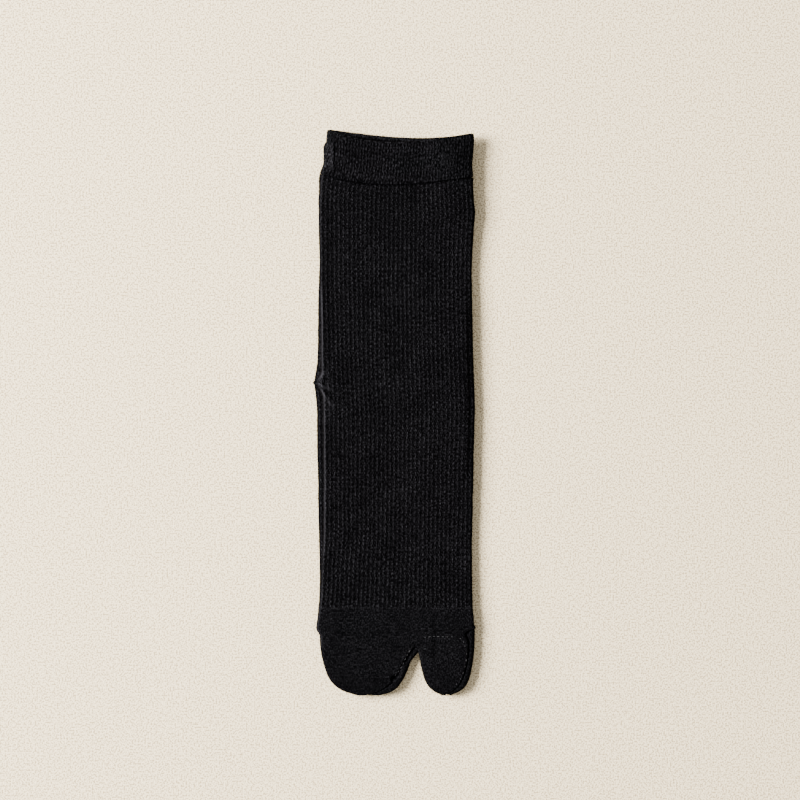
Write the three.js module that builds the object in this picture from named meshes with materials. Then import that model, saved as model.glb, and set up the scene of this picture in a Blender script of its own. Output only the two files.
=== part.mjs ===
// A pair of split-toe socks in ribbed cotton knit, laid flat one on the other: the right sock on top
// with its instep up, the left sock turned over under it, so that both splits lie on each other.
//
// Millimetres. X runs across the socks, Y from the toes to the cuffs, Z up from the surface they lie on.
// The origin is on that surface, under the middle of the pair.
//
// Each sock is a knitted tube pressed flat: two walls of cloth that meet in a fold at each side, open at
// the cuff and closed at the toes. Its pieces are the cuff, the leg and foot, the toes and the heel.

import * as THREE from "three";

// ---------------------------------------------------------------- driving dimensions

const SEAM_GAP = 0.3; // between two pieces of one sock, and between the two socks
const CUFF_SEAM_GAP = 0.6; // the same along the curved seam of the cuff

// The knit. A wall's thickness is measured on its crests, and a groove goes in from there.
const RIB = { perSide: 36, depth: 0.5, crestShare: 0.56, wall: 1.5 };
const CUFF_RIB = { perSide: 50, depth: 0.3, crestShare: 0, wall: 1.6 };
const TOE_WALL = 1.3;

// The height of a sock pressed flat: two walls and the thin hollow between them.
const LOWER_HEIGHT = 3.2;
const UPPER_HEIGHT = 3.4;
const TOE_HEIGHT = 3.2;
const CUFF_HEIGHT = 3.8;
const FOLD_REACH = 2.4; // how far in from its edge a side fold rounds over
const CUFF_GAPE = 2.6; // how far the upper cuff's front stands open at its rim
const GAPE_STARTS_Y = 90; // where the front of the leg begins to rise towards the open rim

// The stretch of each sock that each piece covers.
const RIM_Y = 168.5;
const CUFF_SEAM_Y = 142;
const TOE_SEAM_Y = -116.5;
const SPLIT_Y = -139.3;
const TIP_Y = -169;

// The cuff sags in the middle and stands a little higher on its left. skew moves the lowest place of the
// sag to the left where it is positive. The sag dies out down the leg.
const SAG_IN_FRONT = { depth: 5.8, skew: 2.2, atRim: 0.8 };
const SAG_BEHIND = { depth: 3.5, skew: -1.0, atRim: 0 };
const CUFF_TILT = 1.3;
const SAG_ENDS_Y = 96;

// The heel's corner, which stands out of the upper sock's left fold as a small ear.
const HEEL_Y = 17.9;
const EAR = { out: 5.5, halfLength: 8.5, spread: 2.4 };

// The heel pockets lie folded between the two socks, and the upper sock is lifted over them.
const HEEL_POCKET = { halfWidth: 40, length: 34, thick: 1.5, reach: 1.1 };
const LIFT_MARGIN = 2.5;
const LIFT_RAMP = 30;

// The folds of the upper sock, and how far the lower sock has slipped sideways under it.
const CUFF_ROWS = [
  { y: RIM_Y, left: -39.6, right: 46.9, slip: -1.2 },
  { y: 167, left: -40.5, right: 47.5, slip: -1.5 },
  { y: 162, left: -41.1, right: 47.4, slip: -1.8 },
  { y: 156, left: -41.3, right: 46.9, slip: -1.4 },
  { y: 149, left: -42.1, right: 46.4, slip: -0.9 },
  { y: CUFF_SEAM_Y + CUFF_SEAM_GAP, left: -44.3, right: 46.9, slip: -0.8 },
];
const LEG_ROWS = [
  { y: CUFF_SEAM_Y, left: -44.4, right: 46.9, slip: -0.8 },
  { y: 134, left: -45.3, right: 47.0, slip: -0.3 },
  { y: 124, left: -45.7, right: 47.7, slip: 0.3 },
  { y: 110, left: -45.5, right: 47.2, slip: 0.3 },
  { y: 90, left: -45.0, right: 46.3, slip: 0 },
  { y: 70, left: -45.0, right: 46.4, slip: -0.8 },
  { y: 54, left: -44.5, right: 46.7, slip: -1.5 },
  { y: 26, left: -44.1, right: 47.3, slip: -3.0 },
  { y: 21.5, left: -43.9, right: 47.5, slip: -4.0 },
  { y: HEEL_Y, left: -43.8, right: 47.6, slip: -4.5 },
  { y: 14, left: -43.6, right: 47.7, slip: -4.3 },
  { y: 8, left: -43.3, right: 48.0, slip: -3.8 },
  { y: -18, left: -43.0, right: 47.5, slip: -3.6 },
  { y: -38, left: -42.9, right: 47.1, slip: -3.2 },
  { y: -60, left: -42.9, right: 46.7, slip: -2.9 },
  { y: -80, left: -43.2, right: 46.3, slip: -2.1 },
  { y: -90, left: -44.0, right: 46.4, slip: -1.0 },
  { y: -102, left: -44.5, right: 46.5, slip: -0.5 },
  { y: TOE_SEAM_Y, left: -45.7, right: 46.8, slip: 0 },
];

// How far the upper sock's right side stands off the lower sock. It begins at risesFrom across the sock
// and is full at risesTo.
const RIGHT_RISE = { risesFrom: 14, risesTo: 40 };
const RISE_ROWS = [
  { y: 169, rise: 2.2 },
  { y: 122, rise: 1.9 },
  { y: 97, rise: 0.3 },
  { y: 60, rise: 0 },
  { y: -110, rise: 0 },
  { y: -127, rise: 0.3 },
  { y: -145, rise: 0.2 },
  { y: -169, rise: 0.2 },
];

// wider is how much further out the lower sock's right fold lies than its slip alone puts it.
const TOE_SLIP = 3.5;
const TOE_ROWS = [
  { y: TOE_SEAM_Y - SEAM_GAP, left: -45.7, right: 46.8, slip: 0, wider: 0 },
  { y: -123, left: -46.4, right: 47.3, slip: 0, wider: 0 },
  { y: -129.2, left: -46.9, right: 47.8, slip: 0.1, wider: 0 },
  { y: -132.6, left: -45.1, right: 42.9, slip: 1.7, wider: 3.5 },
  { y: SPLIT_Y, left: -44.6, right: 44.1, slip: TOE_SLIP, wider: 0.3 },
];

// Below the split the four small toes are on the left and the big toe is on the right. slack is how much
// further the lower sock's small toes reach on the split's side, where the upper sock's are drawn in.
const SPLIT_X = 12.6;
const LOBE_ROWS = [
  { y: -143.5, small: [-44.1, 8.8], slack: 1.6, big: [14.2, 44.0], wider: 0.1 },
  { y: -148.3, small: [-43.1, 5.6], slack: 0.9, big: [15.1, 43.4], wider: 0.1 },
  { y: -153.1, small: [-41.7, 3.3], slack: 1.3, big: [16.1, 42.4], wider: 0.3 },
  { y: -157.9, small: [-39.8, 0.8], slack: 1.7, big: [17.3, 41.0], wider: 0.6 },
  { y: -161.6, small: [-37.3, -2.4], slack: 2.7, big: [18.9, 39.2], wider: 1.0 },
  { y: -164.6, small: [-33.9, -6.2], slack: 4.2, big: [21.0, 36.8], wider: 1.4 },
  { y: -166.8, small: [-29.7, -10.4], slack: 5.3, big: [23.9, 34.0], wider: 1.2 },
  { y: -168.3, small: [-24.8, -15.2], slack: 6.0, big: [27.0, 31.2], wider: 0.5 },
  { y: TIP_Y, small: [-22.0, -17.6], slack: 5.4, big: [28.4, 30.2], wider: 0.4 },
];
const TIP_REACH = 4.5; // how far in from its tip a toe rounds over

// Stops across the plain side of a wall, as shares of its width, close together where the fold turns.
const PLAIN_STOPS = [0, 0.012, 0.03, 0.12, 0.26, 0.42, 0.58, 0.74, 0.88, 0.97, 0.988, 1];
const INSIDE_STOPS = [0, 0.012, 0.1, 0.25, 0.42, 0.58, 0.75, 0.9, 0.988, 1];
const RIBS_AT_HIDDEN_EDGE = 4; // ribs kept beside each fold where the other sock covers the middle
const SMALL_TOES_STOPS = 8; // stops across the small toes, the rest being across the big toe
const TOE_STOPS = 13;

// ---------------------------------------------------------------- how the socks lie

const smooth = (t) => {
  const held = Math.min(1, Math.max(0, t));
  return held * held * (3 - 2 * held);
};

// The upper sock's rise over the heel pockets: full over both of them, gone a ramp's length beyond.
function heelLift(y) {
  const beyond = Math.abs(y - HEEL_Y) - HEEL_POCKET.length - LIFT_MARGIN;
  return (HEEL_POCKET.thick + SEAM_GAP) * (1 - smooth(beyond / LIFT_RAMP));
}

// The ear draws the cloth out to the left, most at the fold and less with each millimetre in from it.
function earPull(y, fromFold) {
  const share = Math.max(0, 1 - Math.abs(y - HEEL_Y) / EAR.halfLength) ** 1.5;
  return EAR.out * share * Math.exp(-fromFold / EAR.spread);
}

// How far a point across the sock is drawn down by the cuff's sag. across runs from -1 to 1.
function cuffDrop(across, y, front) {
  const share = smooth((y - SAG_ENDS_Y) / (CUFF_SEAM_Y - SAG_ENDS_Y));
  const { depth, skew, atRim } = front ? SAG_IN_FRONT : SAG_BEHIND;
  const upCuff = smooth((y - CUFF_SEAM_Y) / (RIM_Y - CUFF_SEAM_Y));
  const sag = (depth + atRim * upCuff - skew * across) * (1 - across * across);
  return share * (sag + CUFF_TILT * across);
}

// The front wall's rise towards the open rim, on the leg and the cuff alike.
const gapeAt = (y) => smooth((y - GAPE_STARTS_Y) / (RIM_Y - GAPE_STARTS_Y));

function rightRise(x, y) {
  const { risesFrom, risesTo } = RIGHT_RISE;
  const next = RISE_ROWS.findIndex((row) => row.y <= y);
  const after = RISE_ROWS[next];
  const before = RISE_ROWS[Math.max(0, next - 1)];
  const share = before === after ? 0 : (before.y - y) / (before.y - after.y);
  const rise = THREE.MathUtils.lerp(before.rise, after.rise, share);
  return rise * smooth((x - risesFrom) / (risesTo - risesFrom));
}

// What differs between the two socks. front says which side of the flat tube is the instep.
const UPPER = {
  name: "upper",
  floor: LOWER_HEIGHT + SEAM_GAP,
  lift: heelLift,
  pull: earPull,
  rise: rightRise,
  slipped: 0,
  heights: { leg: UPPER_HEIGHT, cuff: CUFF_HEIGHT, toes: TOE_HEIGHT },
  gape: CUFF_GAPE,
  ribsAtEdge: { leg: RIB.perSide, cuff: CUFF_RIB.perSide },
  rimDrop: 0,
};
const LOWER = {
  name: "lower",
  floor: 0,
  lift: () => 0,
  pull: () => 0,
  rise: () => 0,
  slipped: 1,
  heights: { leg: LOWER_HEIGHT, cuff: LOWER_HEIGHT, toes: LOWER_HEIGHT },
  gape: 0,
  ribsAtEdge: { leg: RIBS_AT_HIDDEN_EDGE, cuff: RIBS_AT_HIDDEN_EDGE },
  rimDrop: 7,
};

// ---------------------------------------------------------------- sections of a flat tube

// A point on the outline of a flat tube, a share of the way from its left fold to its right fold along
// its top (side 1) or its underside (side -1), drawn in by a depth along the outline's normal.
function outlinePoint({ left, right, low, high, reach }, side, share, depth) {
  const half = (high - low) / 2;
  const middle = (high + low) / 2;
  const quarter = (Math.PI / 2) * Math.hypot(reach, half) * Math.SQRT1_2;
  const whole = right - left - 2 * reach + 2 * quarter;
  const along = Math.min(share, 1 - share) * whole;
  const edge = share < 0.5 ? left : right;
  const inward = share < 0.5 ? 1 : -1;
  if (along >= quarter) {
    return { x: edge + inward * (reach + along - quarter), z: middle + side * (half - depth) };
  }
  const turn = (along / quarter) * (Math.PI / 2);
  const normal = new THREE.Vector2(Math.cos(turn) / reach, Math.sin(turn) / half).normalize();
  return {
    x: edge + inward * (reach * (1 - Math.cos(turn)) + depth * normal.x),
    z: middle + side * (half * Math.sin(turn) - depth * normal.y),
  };
}

// The stops across a ribbed side: two on the flat crest of each rib, or one on a sharp one, and one in
// each groove. Away from the edges that show, where kept is fewer than all, the stops are plain.
function ribStops({ perSide, crestShare }, kept) {
  const stops = [{ share: 0 }];
  for (let rib = 0; rib < perSide; rib++) {
    const hidden = rib >= kept && rib < perSide - kept;
    if (hidden && rib % kept !== 0) continue;
    const offsets = crestShare > 0 ? [crestShare / 2, 0.5, 1 - crestShare / 2] : [0.5, 1];
    if (hidden) stops.push({ share: rib / perSide });
    else offsets.forEach((at) => stops.push({ share: (rib + at) / perSide, groove: at === 0.5 }));
  }
  const last = stops[stops.length - 1];
  if (last.share < 1) stops.push({ share: 1 });
  return stops;
}

const plainStops = (shares) => shares.map((share) => ({ share }));

// A ring of points round a flat tube: over the top from left to right, then back along the underside.
// around is each point's place in the ring, from 0 to 1, which matches an outer ring with an inner one.
function tubeRing(section, { topStops, underStops, depth, place }) {
  const ring = topStops.map(({ share, groove }) => {
    const { x, z } = outlinePoint(section, 1, share, groove ? depth : 0);
    return { point: place(x, z, true), around: share / 2 };
  });
  const back = underStops.slice(1, -1).reverse();
  for (const { share } of back) {
    const { x, z } = outlinePoint(section, -1, share, 0);
    ring.push({ point: place(x, z, false), around: 1 - share / 2 });
  }
  return ring;
}

// ---------------------------------------------------------------- skins of triangles

function newSkin() {
  return { points: [], faces: [] };
}

function addRing(skin, ring) {
  return ring.map(({ point, around }) => ({ index: skin.points.push(point) - 1, around }));
}

function addFace(skin, a, b, c, turned) {
  skin.faces.push(turned ? [a.index, c.index, b.index] : [a.index, b.index, c.index]);
}

// The band between two rings with as many points, the first one nearer the cuff.
function addBand(skin, first, second, turned) {
  first.forEach((a, i) => {
    const next = (i + 1) % first.length;
    addFace(skin, a, second[i], second[next], turned);
    addFace(skin, a, second[next], first[next], turned);
  });
}

// The flat rim between an outer ring and an inner one with fewer points. It faces the cuff.
function addRim(skin, outer, inner, turned) {
  let o = 0;
  let i = 0;
  const at = (ring, n) => ring[n % ring.length];
  const place = (ring, n) => (n < ring.length ? ring[n].around : 1 + (n - ring.length));
  while (o < outer.length || i < inner.length) {
    const outerNext = o < outer.length ? place(outer, o + 1) : Infinity;
    const innerNext = i < inner.length ? place(inner, i + 1) : Infinity;
    if (outerNext <= innerNext) {
      addFace(skin, at(outer, o), at(outer, o + 1), at(inner, i), turned);
      o += 1;
    } else {
      addFace(skin, at(outer, o), at(inner, i + 1), at(inner, i), turned);
      i += 1;
    }
  }
}

// Closes a ring whose underside has the same stops as its top. It faces the toes.
function addEnd(skin, ring, turned) {
  const half = ring.length / 2;
  for (let i = 0; i < half; i++) {
    const above = ring[i];
    const aboveNext = ring[i + 1];
    const under = ring[(ring.length - i) % ring.length];
    const underNext = ring[ring.length - i - 1];
    if (i < half - 1) addFace(skin, above, underNext, aboveNext, turned);
    if (i > 0) addFace(skin, above, under, underNext, turned);
  }
}

function meshOf(name, skin, material) {
  const geometry = new THREE.BufferGeometry().setFromPoints(skin.points);
  geometry.setIndex(skin.faces.flat());
  geometry.computeVertexNormals();
  const mesh = new THREE.Mesh(geometry, material);
  mesh.name = name;
  return mesh;
}

// ---------------------------------------------------------------- the pieces

// The section of one sock at a row: its folds, its heights, and the same drawn in by a wall's thickness.
function sectionAt(sock, row, height, wall) {
  const left = row.left + sock.slipped * row.slip;
  const right = row.right + sock.slipped * row.slip;
  const low = sock.floor + sock.lift(row.y);
  const outer = { left, right, low, high: low + height, reach: FOLD_REACH };
  const inner = {
    left: left + wall,
    right: right - wall,
    low: low + wall,
    high: low + height - wall,
    reach: FOLD_REACH - wall,
  };
  return { outer, inner };
}

// An open tube of ribbed cloth through a list of rows, from the row nearest the cuff to the last.
// rimDropAt gives how far a row is drawn down by the rim's lower place on the leg.
function ribbedTube(sock, rows, { knit, height, kept, rimDropAt }) {
  const skin = newSkin();
  const stops = {
    topStops: ribStops(knit, kept),
    underStops: plainStops(PLAIN_STOPS),
  };
  const insideStops = plainStops(INSIDE_STOPS);
  const rings = rows.map((row) => {
    const { outer, inner } = sectionAt(sock, row, height, knit.wall);
    const centre = (outer.left + outer.right) / 2;
    const halfWidth = (outer.right - outer.left) / 2;
    const place = (x, z, onTop) => {
      const across = Math.max(-1, Math.min(1, (x - centre) / halfWidth));
      const crown = onTop ? sock.gape * gapeAt(row.y) * (1 - across ** 6) : 0;
      const y = row.y - rimDropAt(row.y) - cuffDrop(across, row.y, onTop);
      const up = z + crown + sock.rise(x, row.y);
      return new THREE.Vector3(x - sock.pull(row.y, x - outer.left), y, up);
    };
    return {
      outer: addRing(skin, tubeRing(outer, { ...stops, depth: knit.depth, place })),
      inner: addRing(
        skin,
        tubeRing(inner, { topStops: insideStops, underStops: insideStops, depth: 0, place }),
      ),
    };
  });
  rings.slice(1).forEach((ring, i) => {
    addBand(skin, rings[i].outer, ring.outer, false);
    addBand(skin, rings[i].inner, ring.inner, true);
  });
  const last = rings[rings.length - 1];
  addRim(skin, rings[0].outer, rings[0].inner, false);
  addRim(skin, last.outer, last.inner, true);
  return skin;
}

function legAndFoot(sock, material) {
  const skin = ribbedTube(sock, LEG_ROWS, {
    knit: { ...RIB, wall: sock.heights.leg / 2 - 0.2 },
    height: sock.heights.leg,
    kept: sock.ribsAtEdge.leg,
    rimDropAt: () => 0,
  });
  return meshOf(`${sock.name}_leg_and_foot`, skin, material);
}

function cuff(sock, material) {
  const share = (y) => (y - CUFF_SEAM_Y) / (RIM_Y - CUFF_SEAM_Y);
  const skin = ribbedTube(sock, CUFF_ROWS, {
    knit: { ...CUFF_RIB, wall: sock.gape ? CUFF_RIB.wall : LOWER_HEIGHT / 2 - 0.2 },
    height: sock.heights.cuff,
    kept: sock.ribsAtEdge.cuff,
    rimDropAt: (y) => sock.rimDrop * smooth(share(y)),
  });
  return meshOf(`${sock.name}_cuff`, skin, material);
}

// The toes: one flat tube down to the split, and from there two, each closed at its tip. Outer and inner
// skins are made the same way, and meet at the rim where the toes join the foot.
function toesSkin(sock, skin, inset, turned) {
  const height = sock.heights.toes;
  const low = sock.floor;
  const wallIn = inset ? TOE_WALL : 0;
  const half = height / 2 - wallIn;
  const split = SPLIT_Y + wallIn * 1.3;
  const tip = TIP_Y + wallIn;
  const middle = low + height / 2;
  const section = (left, right, fullness) => ({
    left: left + wallIn * fullness,
    right: right - wallIn * fullness,
    low: middle - half * fullness,
    high: middle + half * fullness,
    reach: (FOLD_REACH - wallIn) * fullness,
  });
  const stopsOver = (count) => Array.from({ length: count + 1 }, (_, i) => i / count);
  const edgeShare = 0.03;

  // The foot's end of the toes. The stop at the split is the same one on top and underneath.
  const bodyRows = TOE_ROWS.map((row) => ({
    ...row,
    y: inset ? Math.max(row.y, split) : row.y,
  }));
  const rings = bodyRows.map((row) => {
    const slip = sock.slipped * row.slip;
    const at = section(row.left + slip, row.right + slip + sock.slipped * row.wider, 1);
    const splitShare = (SPLIT_X + slip - at.left) / (at.right - at.left);
    const shares = [
      ...stopsOver(SMALL_TOES_STOPS).map((s) => s * splitShare),
      ...stopsOver(TOE_STOPS - SMALL_TOES_STOPS)
        .slice(1)
        .map((s) => splitShare + s * (1 - splitShare)),
    ];
    shares[1] = edgeShare;
    shares[TOE_STOPS - 1] = 1 - edgeShare;
    const place = (x, z) => new THREE.Vector3(x, row.y, z + sock.rise(x, row.y));
    const stops = plainStops(shares);
    return addRing(skin, tubeRing(at, { topStops: stops, underStops: stops, depth: 0, place }));
  });
  rings.slice(1).forEach((ring, i) => addBand(skin, rings[i], ring, turned));

  // From the split on, each lobe takes its own stretch of the last ring and the crotch point between.
  const last = rings[rings.length - 1];
  const slip = sock.slipped * TOE_SLIP;
  const crotch = { point: new THREE.Vector3(SPLIT_X + slip, split, middle), around: 0.5 };
  const [crotchVertex] = addRing(skin, [crotch]);
  const topAt = (i) => last[i];
  const underAt = (i) => last[(last.length - i) % last.length];
  const range = (from, to) => {
    const step = from < to ? 1 : -1;
    return Array.from({ length: Math.abs(to - from) + 1 }, (_, i) => from + i * step);
  };
  const firstRings = {
    small: [
      ...range(0, SMALL_TOES_STOPS).map(topAt),
      crotchVertex,
      ...range(SMALL_TOES_STOPS, 1).map(underAt),
    ],
    big: [
      crotchVertex,
      ...range(SMALL_TOES_STOPS, TOE_STOPS).map(topAt),
      ...range(TOE_STOPS - 1, SMALL_TOES_STOPS).map(underAt),
    ],
  };
  for (const lobe of ["small", "big"]) {
    const count = firstRings[lobe].length / 2;
    const shares = stopsOver(count);
    shares[1] = edgeShare * 2;
    shares[count - 1] = 1 - edgeShare * 2;
    let previous = firstRings[lobe];
    for (const row of LOBE_ROWS) {
      const along = (SPLIT_Y - row.y) / (SPLIT_Y - TIP_Y);
      const y = split + (tip - split) * along;
      const fromTip = Math.min(1, (row.y - TIP_Y + 0.4) / TIP_REACH);
      const fullness = Math.sqrt(1 - (1 - fromTip) ** 2);
      const [left, right] = row[lobe];
      const further = sock.slipped * (lobe === "small" ? row.slack : row.wider);
      const at = section(left + slip, right + slip + further, fullness);
      const place = (x, z) => new THREE.Vector3(x, y, z + sock.rise(x, row.y));
      const stops = plainStops(shares);
      const ring = tubeRing(at, { topStops: stops, underStops: stops, depth: 0, place });
      const added = addRing(skin, ring);
      addBand(skin, previous, added, turned);
      previous = added;
    }
    addEnd(skin, previous, turned);
  }
  return rings[0];
}

function toes(sock, material) {
  const skin = newSkin();
  const outerRim = toesSkin(sock, skin, false, false);
  const innerRim = toesSkin(sock, skin, true, true);
  addRim(skin, outerRim, innerRim, false);
  return meshOf(`${sock.name}_toes`, skin, material);
}

// The heel pocket, folded flat into a rounded tongue between the socks. direction is 1 where it points
// up the leg and -1 where it points to the toes.
function heel(sock, direction, material) {
  const skin = newSkin();
  const { halfWidth, length, thick, reach } = HEEL_POCKET;
  const low = LOWER_HEIGHT + SEAM_GAP;
  const shares = [0, 0.02, 0.05, 0.2, 0.35, 0.5, 0.65, 0.8, 0.95, 0.98, 1];
  const bends = 9;
  const rings = Array.from({ length: bends }, (_, i) => {
    const turn = (i / (bends - 1)) * (Math.PI / 2) * 0.96;
    const along = length * Math.sin(turn);
    const width = halfWidth * Math.cos(turn) ** 0.45;
    const tipShare = Math.min(1, (length - along + 0.3) / (2 * reach));
    const half = (thick / 2) * Math.sqrt(tipShare);
    const middle = low + thick / 2;
    const centre = 1.5 + sock.slipped * -2.5;
    const y = HEEL_Y + direction * (SEAM_GAP + along);
    const at = {
      left: centre - width,
      right: centre + width,
      low: middle - half,
      high: middle + half,
      reach: reach * Math.sqrt(tipShare),
    };
    const place = (x, z) => new THREE.Vector3(x, y, z);
    const stops = plainStops(shares);
    return addRing(skin, tubeRing(at, { topStops: stops, underStops: stops, depth: 0, place }));
  });
  const towardsToes = direction < 0 ? rings : rings.reverse();
  towardsToes.slice(1).forEach((ring, i) => addBand(skin, towardsToes[i], ring, false));
  addEnd(skin, towardsToes[0], true);
  addEnd(skin, towardsToes[towardsToes.length - 1], false);
  return meshOf(`${sock.name}_heel`, skin, material);
}

// ---------------------------------------------------------------- the pair

const knitMaterial = (color, roughness) =>
  new THREE.MeshStandardMaterial({ color, roughness, metalness: 0 });

const ribKnit = knitMaterial("#15151a", 0.95);
const cuffKnit = knitMaterial("#17171c", 0.93);
const plainKnit = knitMaterial("#121318", 0.97);

function buildSock(sock, heelDirection) {
  const group = new THREE.Group();
  group.add(cuff(sock, cuffKnit));
  group.add(legAndFoot(sock, ribKnit));
  group.add(heel(sock, heelDirection, plainKnit));
  group.add(toes(sock, plainKnit));
  return group;
}

const pair = new THREE.Group();
pair.add(buildSock(UPPER, -1));
pair.add(buildSock(LOWER, 1));

// The ear and the slipped sock make the two sides unequal, so the pair is moved over its origin.
const middle = new THREE.Box3().setFromObject(pair).getCenter(new THREE.Vector3());
pair.position.set(-middle.x, -middle.y, 0);

export default pair;
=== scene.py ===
# %% [markdown]
# # A pair of split-toe socks, laid flat one on the other
#
# A sock is knitted as a tube. Pressed flat it has two walls of cloth that meet in a rounded fold at each
# side. Here the right sock lies on top with its instep up, and the left one is turned over under it, so
# that both splits between the big toe and the small toes lie on each other.
#
# The cloth could be draped by a simulation, but a pressed sock hardly falls or stretches. Its form follows
# a few sizes instead: where its folds run, how high it lies, and where its creases are. So each piece is
# worked out from rows across the sock, and Geometry Nodes then raise the knitted ribs on it.

import math
from functools import partial

import bpy
import numpy as np
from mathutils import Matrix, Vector


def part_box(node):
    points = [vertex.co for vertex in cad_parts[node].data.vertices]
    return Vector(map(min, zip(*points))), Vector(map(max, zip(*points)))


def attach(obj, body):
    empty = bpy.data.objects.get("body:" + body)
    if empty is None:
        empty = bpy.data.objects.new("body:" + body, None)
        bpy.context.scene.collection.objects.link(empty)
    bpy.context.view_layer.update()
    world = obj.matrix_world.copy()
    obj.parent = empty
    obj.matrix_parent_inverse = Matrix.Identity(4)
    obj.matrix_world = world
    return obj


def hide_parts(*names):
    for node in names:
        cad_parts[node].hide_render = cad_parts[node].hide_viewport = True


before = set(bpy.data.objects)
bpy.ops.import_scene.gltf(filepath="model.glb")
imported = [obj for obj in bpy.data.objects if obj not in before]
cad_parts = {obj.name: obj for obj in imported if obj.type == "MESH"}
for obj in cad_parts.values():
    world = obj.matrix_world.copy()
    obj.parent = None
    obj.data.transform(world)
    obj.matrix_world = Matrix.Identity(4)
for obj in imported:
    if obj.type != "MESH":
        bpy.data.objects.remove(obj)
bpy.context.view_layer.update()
print("nodes:", sorted(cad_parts))

# %% [markdown]
# ## The sizes of the socks
#
# All sizes are in millimetres, and each mesh is turned to metres when it is made. A row gives where the
# upper sock's left and right folds run at one place along it, and how far the lower sock has slipped
# sideways there. Named columns keep such a table readable, and numpy's structured arrays give them.

# %% Sizes of the pair
MM = 1000
SEAM_GAP = 0.3
LOWER_HEIGHT = 3.2
FOLD_REACH = 2.4
RIM_Y, CUFF_SEAM_Y, TOE_SEAM_Y, SPLIT_Y, TIP_Y = 168.5, 142.0, -116.5, -139.3, -169.0
HEEL_Y = 17.9
HEEL_X = {"upper": 1.5, "lower": -1.0}
SPLIT_X = 12.6
TOE_SLIP = 3.5
TIP_REACH = 4.5
SPLIT_WALL = 1.3
LEG_WALL = 1.3

FOLD_COLUMNS = [("y", float), ("left", float), ("right", float), ("slip", float), ("wider", float)]
FOLDS = np.array([
    (168.5, -39.3, 46.7, -1.2, 0.0),
    (167.8, -40.2, 47.3, -1.3, 0.0),
    (166.2, -40.6, 47.5, -1.7, 0.0),
    (162.0, -41.1, 47.4, -1.8, 0.0),
    (156.0, -41.3, 46.9, -1.4, 0.0),
    (149.0, -42.1, 46.4, -0.9, 0.0),
    (142.0, -44.3, 46.9, -0.8, 0.0),
    (134.0, -45.3, 47.0, -0.3, 0.0),
    (124.0, -45.7, 47.7, 0.3, 0.0),
    (110.0, -45.5, 47.2, 0.3, 0.0),
    (90.0, -45.0, 46.3, 0.0, 0.0),
    (70.0, -45.0, 46.4, -0.8, 0.0),
    (54.0, -44.5, 46.7, -1.5, 0.0),
    (26.0, -44.1, 47.3, -3.0, 0.0),
    (21.5, -43.9, 47.5, -4.0, 0.0),
    (17.9, -43.8, 47.6, -4.5, 0.0),
    (14.0, -43.6, 47.7, -4.3, 0.0),
    (8.0, -43.3, 48.0, -3.8, 0.0),
    (-18.0, -43.0, 47.5, -3.6, 0.0),
    (-38.0, -42.9, 47.1, -3.2, 0.0),
    (-60.0, -42.9, 46.7, -2.9, 0.0),
    (-80.0, -43.2, 46.3, -2.1, 0.0),
    (-90.0, -44.0, 46.4, -1.0, 0.0),
    (-102.0, -44.5, 46.5, -0.5, 0.0),
    (-116.5, -45.7, 46.8, 0.0, 0.0),
    (-123.0, -46.4, 47.3, 0.0, 0.0),
    (-126.5, -46.9, 47.6, 0.0, 0.0),
    (-129.4, -46.9, 47.8, 0.1, 0.0),
    (-130.8, -46.4, 43.2, 0.8, 4.1),
    (-132.2, -45.2, 42.3, 1.5, 4.2),
    (-134.2, -44.9, 43.0, 2.3, 2.7),
    (-136.4, -44.8, 43.9, 3.0, 1.1),
    (-139.3, -44.6, 44.1, 3.5, 0.3),
], dtype=FOLD_COLUMNS)[::-1]

TOE_COLUMNS = [("y", float), ("small_left", float), ("small_right", float), ("slack", float),
               ("big_left", float), ("big_right", float), ("wider", float)]
TOE_ENDS = np.array([
    (-139.3, -44.6, 12.6, 0.0, 12.6, 44.1, 0.3),
    (-143.5, -44.1, 8.8, 1.6, 14.2, 44.0, 0.1),
    (-148.3, -43.1, 5.6, 0.9, 15.1, 43.4, 0.1),
    (-153.1, -41.7, 3.3, 1.3, 16.1, 42.4, 0.3),
    (-157.9, -39.8, 0.8, 1.7, 17.3, 41.0, 0.6),
    (-161.6, -37.3, -2.4, 2.7, 18.9, 39.2, 1.0),
    (-164.6, -33.9, -6.2, 4.2, 21.0, 36.8, 1.4),
    (-166.8, -29.7, -10.4, 5.3, 23.9, 34.0, 1.2),
    (-168.3, -24.8, -15.2, 6.0, 27.0, 31.2, 0.5),
    (-169.0, -22.0, -17.6, 5.4, 28.4, 30.2, 0.4),
], dtype=TOE_COLUMNS)

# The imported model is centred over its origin, so the tables are moved to where it lies.
toes_low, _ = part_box("upper_toes")
heel_low, heel_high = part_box("lower_heel")
OVER_X = (heel_low.x + heel_high.x) / 2 * MM - HEEL_X["lower"]
OVER_Y = toes_low.y * MM - TIP_Y
print(f"the tables move by {OVER_X:.2f} and {OVER_Y:.2f} mm")

# %% Helpers that put objects in the scene and read the tables as smooth curves
def in_scene(name, data):
    made = bpy.data.objects.new(name, data)
    bpy.context.scene.collection.objects.link(made)
    return made


def smooth(share):
    held = np.clip(share, 0, 1)
    return held * held * (3 - 2 * held)


def eased(knots, values, at):
    """A smooth curve through a table's values, at any place. The knots rise from first to last."""
    slopes = np.gradient(values, knots)
    i = np.clip(np.searchsorted(knots, at, side="right") - 1, 0, len(knots) - 2)
    step = knots[i + 1] - knots[i]
    t = np.clip((at - knots[i]) / step, 0, 1)
    return (
        (2 * t**3 - 3 * t**2 + 1) * values[i]
        + (t**3 - 2 * t**2 + t) * step * slopes[i]
        + (3 * t**2 - 2 * t**3) * values[i + 1]
        + (t**3 - t**2) * step * slopes[i + 1]
    )


def fold(column, y):
    return eased(FOLDS["y"], FOLDS[column], y)


print("left fold at the heel:", round(float(fold("left", np.array(HEEL_Y))), 2))

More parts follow.
